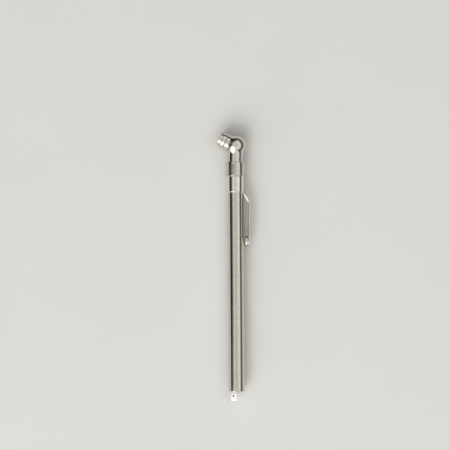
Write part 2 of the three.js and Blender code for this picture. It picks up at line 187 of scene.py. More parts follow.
def combine(obj, other, operation):
    """Unites obj with other, or cuts other out of it, and removes other."""
    modifier = obj.modifiers.new("combine", "BOOLEAN")
    modifier.operation = operation
    modifier.solver = "EXACT"
    modifier.object = other
    bake(obj)
    bpy.data.objects.remove(other)


def bake(obj):
    """Applies every modifier of obj to its mesh."""
    bpy.context.view_layer.update()
    evaluated = obj.evaluated_get(bpy.context.evaluated_depsgraph_get())
    mesh = bpy.data.meshes.new_from_object(evaluated)
    obj.modifiers.clear()
    old = obj.data
    obj.data = mesh
    bpy.data.meshes.remove(old)


def resmooth(obj, sharp_deg=SHARP_DEG):
    """Shades obj smooth again after a cut, but for edges that turn by more than sharp_deg."""
    obj.data.shade_smooth()
    obj.data.set_sharp_from_angle(angle=math.radians(sharp_deg))


def bevel(obj, width, segments, limit_deg):
    """Rounds every edge of obj that turns by more than limit_deg."""
    modifier = obj.modifiers.new("bevel", "BEVEL")
    modifier.width = width
    modifier.segments = segments
    modifier.limit_method = "ANGLE"
    modifier.angle_limit = math.radians(limit_deg)


def place_piece(obj, body, slot, *nodes):
    """Puts obj on its body, in place of CAD nodes if any are named. slot is not used."""
    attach(obj, body)
    if nodes:
        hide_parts(*nodes)


# ---- materials ----
def node_material(name):
    """A new material with its node tree and its shader."""
    material = bpy.data.materials.new(name)
    material.use_nodes = True
    tree = material.node_tree
    shader = tree.nodes["Principled BSDF"]
    return material, tree, shader


def stretched_noise(tree, scale, stretch, detail):
    """Noise in object space; scale is in features per millimetre, stretch divides it along each axis."""
    coords = tree.nodes.new("ShaderNodeTexCoord")
    mapping = tree.nodes.new("ShaderNodeMapping")
    mapping.inputs["Scale"].default_value = [scale / MM / s for s in stretch]
    noise = tree.nodes.new("ShaderNodeTexNoise")
    noise.inputs["Scale"].default_value = 1.0
    noise.inputs["Detail"].default_value = detail
    tree.links.new(coords.outputs["Object"], mapping.inputs["Vector"])
    tree.links.new(mapping.outputs["Vector"], noise.inputs["Vector"])
    return noise.outputs["Fac"]


def ramp(tree, value, stops, interpolation="LINEAR"):
    """A colour ramp on value; stops are (position, (r, g, b))."""
    node = tree.nodes.new("ShaderNodeValToRGB")
    node.color_ramp.interpolation = interpolation
    elements = node.color_ramp.elements
    while len(elements) < len(stops):
        elements.new(0.5)
    for element, (position, colour) in zip(elements, stops):
        element.position = position
        element.color = (*colour, 1)
    tree.links.new(value, node.inputs["Fac"])
    return node.outputs["Color"]


def mottled(tree, value, dark, light):
    """A colour that drifts between dark and light."""
    return ramp(tree, value, [(0.3, dark), (0.7, light)])


def map_range(tree, value, low, high):
    """Value from 0...1 as low...high."""
    node = tree.nodes.new("ShaderNodeMapRange")
    node.inputs["To Min"].default_value = low
    node.inputs["To Max"].default_value = high
    tree.links.new(value, node.inputs["Value"])
    return node.outputs["Result"]


def bump(tree, shader, height, strength, distance, under=None):
    """A bump on the shader's normal, laid over another bump's normal if one is given."""
    node = tree.nodes.new("ShaderNodeBump")
    node.inputs["Strength"].default_value = strength
    node.inputs["Distance"].default_value = distance
    tree.links.new(height, node.inputs["Height"])
    if under:
        tree.links.new(under, node.inputs["Normal"])
    tree.links.new(node.outputs["Normal"], shader.inputs["Normal"])
    return node.outputs["Normal"]


def metal(name, light, dark, rough, grain, grain_scale=6.0, wave=0.0):
    """Metal with a slight mottle in colour and gloss, fine lines along the grain and a slight waviness."""
    mottle_scale = 0.35
    wave_scale = 0.22
    wave_stretch = (1, 1.6, 1)
    line_depth = 0.002 * MM
    line_strength = 0.4
    material, tree, shader = node_material(name)
    shader.inputs["Metallic"].default_value = 1.0
    mottle = stretched_noise(tree, mottle_scale, EVEN, detail=3.0)
    lines = stretched_noise(tree, grain_scale, grain, detail=6.0)
    tree.links.new(mottled(tree, mottle, dark, light), shader.inputs["Base Color"])
    tree.links.new(map_range(tree, lines, *rough), shader.inputs["Roughness"])
    under = None
    if wave:
        height = stretched_noise(tree, wave_scale, wave_stretch, detail=1.0)
        under = bump(tree, shader, height, strength=1.0, distance=wave)
    bump(tree, shader, lines, line_strength, line_depth, under)
    return material


def polymer(name, light, dark, rough, grain_scale, depth):
    """Plastic, rubber or fibre with a fine moulded or cut surface."""
    mottle_scale = 0.5
    strength = 0.5
    material, tree, shader = node_material(name)
    mottle = stretched_noise(tree, mottle_scale, EVEN, detail=4.0)
    grain = stretched_noise(tree, grain_scale, EVEN, detail=5.0)
    tree.links.new(mottled(tree, mottle, dark, light), shader.inputs["Base Color"])
    tree.links.new(map_range(tree, grain, *rough), shader.inputs["Roughness"])
    bump(tree, shader, grain, strength, depth)
    return material


def translucent(material, weight, radius, scale):
    """The same plastic, with some light scattered below its surface."""
    shader = material.node_tree.nodes["Principled BSDF"]
    shader.inputs["Subsurface Weight"].default_value = weight
    shader.inputs["Subsurface Radius"].default_value = radius
    shader.inputs["Subsurface Scale"].default_value = scale
    return material


# Grain directions: how far the noise is stretched along X, Y and Z.
EVEN = (1, 1, 1)
ALONG_BARREL = (1, 60, 1)
AROUND = (60, 1, 60)

CHROME_TUBE = metal(
    "chrome_tube", light=(0.69, 0.655, 0.59), dark=(0.62, 0.59, 0.53), rough=(0.06, 0.13),
    grain=ALONG_BARREL, wave=0.03 * MM,
)
CHROME_CLIP = metal(
    "chrome_clip", light=(0.84, 0.805, 0.74), dark=(0.76, 0.73, 0.67), rough=(0.05, 0.14),
    grain=ALONG_BARREL, wave=0.012 * MM,
)
CHROME_COLLAR = metal(
    "chrome_collar", light=(0.68, 0.645, 0.58), dark=(0.59, 0.56, 0.505), rough=(0.1, 0.22), grain=AROUND,
)
CHROME_HEAD = metal(
    "chrome_head", light=(0.71, 0.675, 0.61), dark=(0.64, 0.61, 0.55), rough=(0.04, 0.1),
    grain=EVEN, grain_scale=2.0,
)
STEEL = metal(
    "turned_steel", light=(0.62, 0.62, 0.63), dark=(0.5, 0.5, 0.51), rough=(0.2, 0.35), grain=AROUND,
)
SPRING_STEEL = metal(
    "spring_wire", light=(0.46, 0.46, 0.48), dark=(0.34, 0.34, 0.36), rough=(0.25, 0.4),
    grain=EVEN, grain_scale=4.0,
)
BRASS = metal(
    "turned_brass", light=(0.82, 0.62, 0.27), dark=(0.68, 0.49, 0.2), rough=(0.18, 0.34), grain=AROUND,
)
# Dark colour of the collar's stamped dashes: painted shade in their dents.
STAMP_DENT_SHADE = metal(
    "stamp_dent_shade", light=(0.22, 0.21, 0.19), dark=(0.12, 0.115, 0.105), rough=(0.4, 0.6),
    grain=EVEN, grain_scale=8.0,
)
NYLON = translucent(
    polymer(
        "bar_nylon", light=(0.93, 0.925, 0.9), dark=(0.87, 0.865, 0.84), rough=(0.28, 0.42),
        grain_scale=5.0, depth=0.004 * MM,
    ),
    weight=0.25, radius=(1.0 * MM, 1.0 * MM, 0.8 * MM), scale=0.5,
)
GUIDE_NYLON = polymer(
    "guide_nylon", light=(0.82, 0.8, 0.73), dark=(0.74, 0.72, 0.65), rough=(0.4, 0.55),
    grain_scale=4.0, depth=0.006 * MM,
)
RUBBER = polymer(
    "nitrile_rubber", light=(0.035, 0.035, 0.038), dark=(0.02, 0.02, 0.022), rough=(0.55, 0.8),
    grain_scale=8.0, depth=0.01 * MM,
)
FIBRE = polymer(
    "red_fibre", light=(0.4, 0.13, 0.09), dark=(0.26, 0.07, 0.05), rough=(0.6, 0.85),
    grain_scale=10.0, depth=0.012 * MM,
)
# Black ink of the scales, also used for painted shade inside the tip's dimple.
INK_AND_HOLE_SHADE = polymer(
    "ink_and_hole_shade", light=(0.03, 0.03, 0.035), dark=(0.015, 0.015, 0.018), rough=(0.4, 0.6),
    grain_scale=12.0, depth=0.002 * MM,
)


# ---- barrel ----
def even_rings(radius, start, end, count):
    """Points that divide a straight wall into count equal lengths, without its two ends."""
    return [(radius, start + (end - start) * i / count) for i in range(1, count)]


def build_barrel():
    """The tube, with its tail rolled inwards."""
    low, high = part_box("barrel_tube")
    outer = radius_of("barrel_tube")
    bore = outer - 0.4 * MM
    lip = outer - 0.8 * MM
    lip_round = 0.15 * MM
    lip_end = 0.6 * MM
    bore_start = 1.2 * MM
    roll = 0.4 * MM
    profile = [(lip, low.y + lip_round)]
    profile += arc(lip + lip_round, low.y + lip_round, lip_round, 180, 270, 4)[1:]
    profile += arc(outer - roll, low.y + roll, roll, 270, 360, 10)
    profile += even_rings(outer, low.y + roll, high.y, 12)
    profile += [(outer, high.y), (bore, high.y), (bore, low.y + bore_start)]
    profile += [(lip, low.y + lip_end)]
    tube = lathe("barrel_shell", profile, Matrix.Translation(BARREL), CHROME_TUBE)
    place_piece(tube, "gauge", "chrome", "barrel_tube")


# ---- collar ----
def build_collar():
    """The sleeve between tube and head, rounded at both ends, with its stamped marks."""
    low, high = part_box("collar")
    outer = radius_of("collar")
    rounding = 0.35 * MM
    soft = 0.12 * MM
    bore = 4.83 * MM
    narrower = 0.1 * MM
    profile = [(bore, low.y)]
    profile += [(outer - rounding - soft, low.y)]
    profile += arc(outer - rounding, low.y + rounding, rounding, 280, 360, 8)
    profile += even_rings(outer, low.y + rounding, high.y - rounding, 6)
    profile += arc(outer - rounding, high.y - rounding, rounding, 0, 80, 8)
    profile += [(outer - rounding - soft, high.y)]
    profile += [(bore - narrower, high.y)]
    collar = lathe("collar_sleeve", profile, Matrix.Translation(BARREL), CHROME_COLLAR)
    place_piece(collar, "gauge", "collar_chrome", "collar")
    build_stamped_marks(low.y, outer)


def add_dash(bm, radius, y, start_deg, width_deg):
    """One dash round the barrel, a thin closed strip sunk into the surface of that radius, its dark colour
    painted shade of a stamped dent.
    """
    height = 0.58 * MM
    outside = radius + 0.012 * MM
    inside = radius - 0.03 * MM
    steps = 6
    corners = ((inside, y), (outside, y), (outside, y + height), (inside, y + height))
    sections = []
    for i in range(steps + 1):
        angle = math.radians(start_deg + width_deg * i / steps)
        turned = [(r * math.cos(angle), at, r * math.sin(angle)) for r, at in corners]
        sections.append([bm.verts.new(point) for point in turned])
    for a, b in zip(sections, sections[1:]):
        for k in range(len(corners)):
            n = (k + 1) % len(corners)
            bm.faces.new((a[k], b[k], b[n], a[n]))
    bm.faces.new(sections[0])
    bm.faces.new(sections[-1])


def build_stamped_marks(collar_start, radius):
    """Rows of plain stamped dashes on the collar, on the side away from the clip, dark with painted shade.
    """
    rows = 6
    dashes = 4
    first_row = 1.5 * MM
    pitch = 0.98 * MM
    start_deg = 97.0
    gap_deg = 2.2
    shortest_deg = 4.0
    longer_deg = 2.0
    bm = bmesh.new()
    for row in range(rows):
        angle = start_deg
        for k in range(dashes):
            # The widths only have to look irregular.
            width = shortest_deg + longer_deg * ((row * 2 + k * 3) % 4)
            add_dash(bm, radius, collar_start + first_row + pitch * row, angle, width)
            angle += width + gap_deg
    bm.transform(Matrix.Translation(BARREL))
    place_piece(new_object("collar_stamped_marks", bm, STAMP_DENT_SHADE), "gauge", "collar_chrome")


# ---- head ----
def ball_and_stem_profile():
    """Spigot, neck and ball as rings; the ball's rings shift sideways to its own centre."""
    low = HEAD_LOW.y
    spigot_r = 4.25 * MM
    spigot_edge = 0.2 * MM
    relief_r = 3.6 * MM
    relief = 1.1 * MM
    shoulder = TAIL_Y + 130 * MM
    points = [(0, low), (spigot_r - spigot_edge, low), (spigot_r, low + spigot_edge)]
    points += [(spigot_r, shoulder - relief), (relief_r, shoulder - relief)]
    points += [(relief_r, shoulder), (NECK_R, shoulder)]
    # The fillet between neck and ball touches both circles.
    fillet = 5.0 * MM
    below_fillet = 2.2 * MM
    reach = BALL_R + fillet
    side = NECK_R + fillet
    down = math.sqrt(reach ** 2 - side ** 2)
    fillet_y = BALL.y - down
    touch_deg = math.degrees(math.atan2(down, -side))
    points += [(NECK_R, fillet_y - below_fillet)]
    points += arc(side, fillet_y, fillet, 180, touch_deg, 16)
    start_deg = -math.degrees(math.atan2(down, side))
    points += arc(0, BALL.y, BALL_R, start_deg, 90, 72)[1:-1]
    points += [(0, BALL.y + BALL_R)]
    shifted = []
    blend_from = fillet_y - 1.5 * MM
    blend_to = BALL.y - 0.3 * BALL_R
    for r, y in points:
        t = min(1, max(0, (y - blend_from) / (blend_to - blend_from)))
        shifted.append((r, y, BALL_ASIDE * t * t * (3 - 2 * t)))
    return shifted


def chuck_profile():
    """Outside of the chuck: a small flare at its root, a ring groove, a waist and the lip."""
    root = 3.4 * MM
    flare = 0.45 * MM
    flare_up = 1.15 * MM
    groove = 6.5 * MM
    groove_half = 0.22 * MM
    groove_edge = 0.08 * MM
    groove_break = 0.03 * MM
    groove_depth = 0.22 * MM
    shoulder = 8.9 * MM
    edge = 0.35 * MM
    waist_r = 4.12 * MM
    waist_round = 0.1 * MM
    waist_end = 0.35 * MM
    lip_r = 4.3 * MM
    lip_start = 0.42 * MM
    lip_foot = 0.08 * MM
    lip_round = 0.1 * MM
    rim_round = 0.18 * MM
    points = [(0, root), (CHUCK_R + flare, root)]
    points += arc(CHUCK_R + flare, root + flare_up, flare, 215, 180, 4)
    points += [(CHUCK_R, groove - groove_half - groove_edge)]
    points += [(CHUCK_R - groove_break, groove - groove_half)]
    points += [(CHUCK_R - groove_depth, groove)]
    points += [(CHUCK_R - groove_break, groove + groove_half)]
    points += [(CHUCK_R, groove + groove_half + groove_edge)]
    points += arc(CHUCK_R - edge, shoulder - edge, edge, 0, 90, 8)
    points += [(waist_r + waist_round, shoulder), (waist_r, shoulder + waist_round)]
    points += [(waist_r, shoulder + waist_end), (waist_r + lip_foot, shoulder + lip_start)]
    points += arc(lip_r - lip_round, shoulder + lip_start + lip_round, lip_round, 270, 360, 4)
    points += arc(lip_r - rim_round, CHUCK_END - rim_round, rim_round, 0, 90, 6)
    points += [(0, CHUCK_END)]
    return points


def hollow_profile():
    """The pin's hole, air chamber, seal groove and mouth, as one cutting body."""
    pin_hole_r = 0.9 * MM
    pin_hole_end = -2.8 * MM
    chamber_r = 2.2 * MM
    groove_r = 4.25 * MM
    groove_start = 3.3 * MM
    groove_end = 5.9 * MM
    mouth_r = 3.9 * MM
    mouth_edge = 0.1 * MM
    beyond = CHUCK_END + 1 * MM
    points = [(0, pin_hole_end), (pin_hole_r, pin_hole_end), (pin_hole_r, 0), (chamber_r, 0)]
    points += [(chamber_r, groove_start), (groove_r, groove_start), (groove_r, groove_end)]
    points += [(mouth_r, groove_end), (mouth_r, CHUCK_END - mouth_edge)]
    points += [(mouth_r + mouth_edge, CHUCK_END), (mouth_r + mouth_edge, beyond), (0, beyond)]
    return points


def deflator_cone_profile():
    """The shallow cone on the ball's far side, with a flat tip."""
    foot_r = 2.45 * MM
    foot_end = 5.35 * MM
    shoulder_r = 2.3 * MM
    shoulder = 5.62 * MM
    neck_r = 0.98 * MM
    neck = 6.4 * MM
    tip_r = 0.85 * MM
    tip = 6.45 * MM
    points = [(0, 0), (foot_r, 0), (foot_r, foot_end), (shoulder_r, shoulder)]
    points += [(neck_r, neck), (tip_r, tip), (0, tip)]
    return points


def deflator_hole_profile():
    """The hole that the deflator pin stands in."""
    hole_r = 0.62 * MM
    start = 3.4 * MM
    beyond = 7 * MM
    return [(0, start), (hole_r, start), (hole_r, beyond), (0, beyond)]


def air_passage_profile():
    """The wide bore up the spigot, and the narrow one from there into the ball."""
    bore_r = 2.6 * MM
    passage_r = 1 * MM
    low = HEAD_LOW.y - 1 * MM
    step = TAIL_Y + 131 * MM
    points = [(0, low), (bore_r, low), (bore_r, step)]
    points += [(passage_r, step), (passage_r, BALL.y), (0, BALL.y)]
    return points


def build_head():
    """The head casting: ball on its stem, chuck and cone added, hollows and holes cut out."""
    sharp_deg = 28
    stem_place = Matrix.Translation(BARREL)
    chuck_place = along(CHUCK_BASE, CHUCK_AXIS)
    deflator_place = along(BALL, DEFLATOR_AXIS)
    head = lathe("head_casting", ball_and_stem_profile(), stem_place, CHROME_HEAD)
    combine(head, lathe("chuck_outer", chuck_profile(), chuck_place, CHROME_HEAD), "UNION")
    cone = lathe("deflator_cone", deflator_cone_profile(), deflator_place, CHROME_HEAD, FINE)
    combine(head, cone, "UNION")
    combine(head, lathe("chuck_hollow", hollow_profile(), chuck_place, CHROME_HEAD), "DIFFERENCE")
    hole = lathe("deflator_hole", deflator_hole_profile(), deflator_place, CHROME_HEAD, FINE)
    combine(head, hole, "DIFFERENCE")
    passage = lathe("air_passage", air_passage_profile(), stem_place, CHROME_HEAD, FINE)
    combine(head, passage, "DIFFERENCE")
    resmooth(head, sharp_deg)
    place_piece(head, "gauge", "head_chrome", "head_body")


def pin_profile(radius, start, tip, edge):
    """A pin with a small chamfer at its start and a round tip."""
    points = [(0, start), (radius - edge, start), (radius, start + edge)]
    points += arc(0, tip - radius, radius, 0, 90, 10)[:-1]
    points += [(0, tip)]
    return points


def build_chuck_parts():
    """The rubber seal, the pin that opens the tyre valve, and the deflator pin."""
    place = along(CHUCK_BASE, CHUCK_AXIS)
    outer = 4.05 * MM
    hole = 1.7 * MM
    back = 3.5 * MM
    edge = 0.3 * MM
    seal = [(hole, back + edge), (hole + edge, back), (outer - edge, back)]
    seal += arc(outer - edge, back + edge, edge, 270, 360, 6)
    seal += arc(outer - edge, SEAL_FACE - edge, edge, 0, 90, 6)
    seal += arc(hole + edge, SEAL_FACE - edge, edge, 90, 180, 6)
    place_piece(lathe("chuck_seal", seal, place, RUBBER), "gauge", "rubber", "valve_seal")
    valve = pin_profile(radius=0.7 * MM, start=-2.6 * MM, tip=6.9 * MM, edge=0.1 * MM)
    place_piece(lathe("valve_pin", valve, place, BRASS, FINE), "gauge", "brass", "depressor_pin")
    point = pin_profile(radius=0.55 * MM, start=3.6 * MM, tip=6.75 * MM, edge=0.08 * MM)
    deflator = lathe("deflator_point", point, along(BALL, DEFLATOR_AXIS), STEEL, FINE)
    place_piece(deflator, "gauge", "steel", "deflator_pin")


# ---- clip ----
def build_band():
    """The clip's sleeve, with a shallow groove near its lower end."""
    low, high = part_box("clip_band")
    outer = radius_of("clip_band")
    bore = outer - 0.25 * MM
    wall = 0.06 * MM
    top_clearance = 0.2 * MM
    rings_start = 1 * MM
    shallow = 0.03 * MM
    deep = 0.1 * MM
    # Heights above the lower end, and how deep the groove is there.
    groove = (
        (0.35 * MM, 0), (0.41 * MM, shallow), (0.51 * MM, deep),
        (0.65 * MM, deep), (0.75 * MM, shallow), (0.83 * MM, 0),
    )
    profile = [(bore, low.y + wall)]
    profile += [(bore + wall, low.y)]
    profile += arc(outer - wall, low.y + wall, wall, 270, 360, 4)
    profile += [(outer - depth, low.y + height) for height, depth in groove]
    profile += even_rings(outer, low.y + rings_start, high.y - top_clearance, 6)
    profile += arc(outer - wall, high.y - wall, wall, 0, 90, 4)
    profile += [(bore, high.y)]
    band = lathe("clip_sleeve", profile, Matrix.Translation(BARREL), CHROME_CLIP)
    place_piece(band, "gauge", "clip_chrome", "clip_band")


def smooth_path(corners, bend, steps):
    """Points along straight runs between corners, each inner corner rounded by a quadratic curve."""
    points = [corners[0]]
    for before, corner, after in zip(corners, corners[1:], corners[2:]):
        a = corner + (before - corner).normalized() * bend
        b = corner + (after - corner).normalized() * bend
        for i in range(steps + 1):
            t = i / steps
            points.append(a * (1 - t) ** 2 + corner * 2 * t * (1 - t) + b * t ** 2)
    points.append(corners[-1])
    return points


def resample(points, step):
    """The same path with points at even distances."""
    lengths = [0.0]
    for a, b in zip(points, points[1:]):
        lengths.append(lengths[-1] + (b - a).length)
    count = max(2, round(lengths[-1] / step))
    result = []
    k = 0
    for i in range(count + 1):
        target = lengths[-1] * i / count
        while k < len(points) - 2 and lengths[k + 1] < target:
            k += 1
        share = (target - lengths[k]) / (lengths[k + 1] - lengths[k])
        result.append(points[k].lerp(points[k + 1], share))
    return result


def ellipsoid(name, centre, halves, material):
    """A smooth ellipsoid, for the clip's pad and the hollow pressed into it."""
    profile = [(0, -1)] + arc(0, 0, 1, -90, 90, 24)[1:-1] + [(0, 1)]
    shape = Matrix.Translation(centre) @ Matrix.Diagonal((*halves, 1))
    return lathe(name, profile, shape, material, FINE)


def arm_path(low, high, sheet):
    """The arm's centre line: out from the band, down beside the tube, and in towards it at the end."""
    clear = 0.02 * MM
    root_out = 0.42 * MM
    root_down = 0.12 * MM
    end_in = 0.75 * MM
    end_up = 0.1 * MM
    bend = 1.8 * MM
    step = 0.2 * MM
    tube_side = BARREL.x + radius_of("barrel_tube")
    out_x = high.x - sheet / 2 - clear
    root = Vector((tube_side + root_out, high.y - root_down, BARREL.z))
    shoulder = Vector((out_x, TAIL_Y + 111 * MM, BARREL.z))
    bend_in = Vector((out_x, TAIL_Y + 90 * MM, BARREL.z))
    end = Vector((out_x - end_in, low.y + end_up, BARREL.z))
    return resample(smooth_path([root, shoulder, bend_in, end], bend, 10), step)


def crowned_strip(path, half_width):
    """An open strip along the path, crowned across and rounded off at its far end."""
    crown = 0.7 * MM
    rounding = 3.2 * MM
    narrowest = 0.12
    across = 24
    bm = bmesh.new()
    rows = []
    for i, point in enumerate(path):
        ahead = path[min(i + 1, len(path) - 1)] - path[max(i - 1, 0)]
        outward = Vector((-ahead.y, ahead.x, 0)).normalized()
        left = point.y - path[-1].y
        narrowing = 1.0
        if left < rounding:
            narrowing = math.sqrt(max(0.0, 1 - (1 - left / rounding) ** 2))
        width = half_width * max(narrowing, narrowest)
        row = []
        for k in range(across + 1):
            z = width * (2 * k / across - 1)
            sink = crown * (z / half_width) ** 2
            row.append(bm.verts.new(point - outward * sink + Vector((0, 0, z))))
        rows.append(row)
    for a, b in zip(rows, rows[1:]):
        for k in range(across):
            bm.faces.new((a[k], b[k], b[k + 1], a[k + 1]))
    return bm


def build_clip_arm():
    """The sprung arm: a crowned strip with a rounded end, and a pad pressed in towards the tube."""
    low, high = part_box("clip_arm")
    sheet = 0.5 * MM
    side_clearance = 0.1 * MM
    sheet_edge = 0.2 * MM
    pad_edge = 0.1 * MM
    sharp_deg = 40
    half_width = (high.z - low.z) / 2 - side_clearance
    bm = crowned_strip(arm_path(low, high, sheet), half_width)
    arm = new_object("clip_spring_arm", bm, CHROME_CLIP)
    thick = arm.modifiers.new("sheet", "SOLIDIFY")
    thick.thickness = sheet
    thick.offset = 0
    bevel(arm, sheet_edge, segments=4, limit_deg=50)
    bake(arm)
    pad_y = TAIL_Y + 87.4 * MM
    pad_centre = Vector((BARREL.x + 6.42 * MM, pad_y, BARREL.z))
    pad_halves = (1.53 * MM, 3.2 * MM, 1.85 * MM)
    hollow_centre = Vector((BARREL.x + 8.35 * MM, pad_y, BARREL.z))
    hollow_halves = (2.5 * MM, 2.7 * MM, 1.4 * MM)
    combine(arm, ellipsoid("pad", pad_centre, pad_halves, CHROME_CLIP), "UNION")
    combine(arm, ellipsoid("pad_hollow", hollow_centre, hollow_halves, CHROME_CLIP), "DIFFERENCE")
    bevel(arm, pad_edge, segments=3, limit_deg=sharp_deg)
    bake(arm)
    resmooth(arm, sharp_deg)
    place_piece(arm, "clip", "clip_chrome", "clip_arm")


# ---- indicator bar ----
BAR_LOW, BAR_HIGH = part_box("indicator_bar")
BAR_HALF = 1.4 * MM
BAR_ASIDE = -1.6 * MM
BAR_X = BARREL.x + BAR_ASIDE
TIP_X = mount("bar_tip")["pos_m"][0]
TIP_HALF = (BAR_HIGH.z - BAR_LOW.z) / 2

# Travel of the bar for one psi and for one kPa.
PSI = 0.8 * MM
KPA_IN_A_PSI = 6.895
KPA = PSI / KPA_IN_A_PSI
INK_LIFT = 0.012 * MM


def square_rings(name, stations, material):
    """A square-section solid along Y. Stations are (y, centre x, half width, half height)."""
    bm = bmesh.new()
    rows = []
    for y, x, half_x, half_z in stations:
        corners = ((-1, -1), (1, -1), (1, 1), (-1, 1))
        rows.append([bm.verts.new((x + sx * half_x, y, BARREL.z + sz * half_z)) for sx, sz in corners])
    for a, b in zip(rows, rows[1:]):
        for k in range(4):
            n = (k + 1) % 4
            bm.faces.new((a[k], a[n], b[n], b[k]))
    bm.faces.new(rows[0])
    bm.faces.new(rows[-1])
    return new_object(name, bm, material)


def build_bar():
    """The bar with its thicker tip and the foot that the piston pushes, and the dimple's hole."""
    tip_inner = TAIL_Y - 1.35 * MM
    tip_slope = 0.45 * MM
    tip_narrower = 0.35 * MM
    tip_thinner = 0.2 * MM
    foot_start = BAR_HIGH.y - 3 * MM
    foot_x = (BAR_X - BAR_HALF + BAR_HIGH.x) / 2
    foot_half = BAR_HIGH.x - foot_x
    step = 0.01 * MM
    edge = 0.16 * MM
    bar = square_rings("scale_bar", [
        (BAR_LOW.y, TIP_X, TIP_HALF - tip_narrower, TIP_HALF - tip_thinner),
        (BAR_LOW.y + tip_slope, TIP_X, TIP_HALF, TIP_HALF),
        (tip_inner, TIP_X, TIP_HALF, TIP_HALF),
        (tip_inner + step, BAR_X, BAR_HALF, BAR_HALF),
        (foot_start, BAR_X, BAR_HALF, BAR_HALF),
        (foot_start + step, foot_x, foot_half, BAR_HALF),
        (BAR_HIGH.y, foot_x, foot_half, BAR_HALF),
    ], NYLON)
    bevel(bar, edge, segments=4, limit_deg=20)
    bake(bar)
    cut_dimple(bar)
    resmooth(bar)
    place_piece(bar, "bar", "bar_nylon", "indicator_bar")


def cut_dimple(bar):
    """Cuts the small round dimple in the tip's upper side and lines it with a dark cup, painted shade in
    the hole.
    """
    middle = Vector((BARREL.x - 2.0 * MM, TAIL_Y - 2.6 * MM, BARREL.z + TIP_HALF))
    place = Matrix.Translation(middle) @ Matrix.Rotation(math.pi / 2, 4, "X")
    depth = 1.15 * MM
    hole_r = 0.5 * MM
    edge = 0.1 * MM
    beyond = 0.3 * MM
    profile = [(0, -depth), (hole_r - edge, -depth), (hole_r, -depth + edge)]
    profile += [(hole_r, -edge), (hole_r + edge, 0), (hole_r + edge, beyond), (0, beyond)]
    combine(bar, lathe("dimple_cutter", profile, place, NYLON, TINY), "DIFFERENCE")
    gap = 0.01 * MM
    wall = 0.04 * MM
    rim = -0.12 * MM
    outer = hole_r - gap
    bottom = -depth + gap
    # A thin dark cup just inside the hole: painted shade, since the hole alone stays bright.
    cup = [(0, bottom), (outer - edge, bottom), (outer, bottom + edge)]
    cup += [(outer, rim), (outer - wall, rim)]
    cup += [(outer - wall, bottom + edge + wall), (0, bottom + wall)]
    place_piece(lathe("dimple_shade_lining", cup, place, INK_AND_HOLE_SHADE, TINY), "bar", "bar_nylon")


def ink_piece(name, bm, side):
    """Ink drawn in the plane of the bar's top face, turned to one of its four sides, 1 to 4."""
    turn = Matrix.Rotation(math.pi / 2 * (side - 1), 4, "Y")
    bm.transform(Matrix.Translation((BAR_X, 0, BARREL.z)) @ turn)
    ink = new_object(name, bm, INK_AND_HOLE_SHADE)
    place_piece(ink, "bar", "bar_nylon")


def add_mark(bm, y, x_from, x_to, thickness):
    """A flat stroke of ink across the face, rooted a little below it."""
    root = 0.005 * MM
    xs = (x_from, x_to)
    ys = (y - thickness / 2, y + thickness / 2)
    zs = (BAR_HALF - root, BAR_HALF + INK_LIFT)
    verts = [bm.verts.new((xx, yy, zz)) for zz in zs for yy in ys for xx in xs]
    for face in ((0, 1, 3, 2), (4, 5, 7, 6), (0, 1, 5, 4), (2, 3, 7, 6), (0, 2, 6, 4), (1, 3, 7, 5)):
        bm.faces.new([verts[i] for i in face])


def add_number(bm, text, y, x, height):
    """Generic figures, as solid ink, read with the gauge's tail to the right."""
    same_point = 1e-7
    curve = bpy.data.curves.new("figures", "FONT")
    curve.body = text
    curve.size = height
    curve.extrude = INK_LIFT
    curve.align_x = "CENTER"
    curve.align_y = "CENTER"
    holder = bpy.data.objects.new("figures", curve)
    bpy.context.scene.collection.objects.link(holder)
    bpy.context.view_layer.update()
    mesh = bpy.data.meshes.new_from_object(holder.evaluated_get(bpy.context.evaluated_depsgraph_get()))
    part = bmesh.new()
    part.from_mesh(mesh)
    bmesh.ops.remove_doubles(part, verts=part.verts, dist=same_point)
    part.transform(Matrix.Translation((x, y, BAR_HALF)) @ Matrix.Rotation(-math.pi / 2, 4, "Z"))
    joined = bpy.data.meshes.new("joined")
    part.to_mesh(joined)
    part.free()
    bm.from_mesh(joined)
    bpy.data.objects.remove(holder)
    bpy.data.meshes.remove(mesh)
    bpy.data.meshes.remove(joined)


def build_scale(name, side, unit, first, last, step, long_step):
    """Ticks and figures of one scale on one side of the bar, read at the tube's tail edge."""
    long_tick = 1.0 * MM
    short_tick = 0.55 * MM
    tick_width = 0.14 * MM
    start = -(BAR_HALF - 0.2 * MM)
    figures_x = 0.35 * MM
    figures_height = 1.5 * MM
    bm = bmesh.new()
    for value in range(first, last + 1, step):
        y = TAIL_Y + value * unit
        is_long = value % long_step == 0
        length = long_tick if is_long else short_tick
        add_mark(bm, y, start, start + length, tick_width)
        if is_long:
            add_number(bm, str(value), y, figures_x, figures_height)
    ink_piece(name, bm, side)


# ---- spring ----
def coil_turns(low, high, wire):
    """(turn, height) along the wire's middle: open turns between two closed ends."""
    closed_turns = 1.5
    open_turns = 24
    steps_per_turn = 24
    slack = 1.05
    start = low + wire
    end = high - wire
    rise_closed = 2 * wire * closed_turns * slack
    total = open_turns + 2 * closed_turns
    turns = []
    for i in range(int(total * steps_per_turn) + 1):
        turn = i / steps_per_turn
        if turn < closed_turns:
            y = start + rise_closed * turn / closed_turns
        elif turn > total - closed_turns:
            y = end - rise_closed * (total - turn) / closed_turns
        else:
            share = (turn - closed_turns) / open_turns
            y = start + rise_closed + (end - start - 2 * rise_closed) * share
        turns.append((turn, y))
    return turns


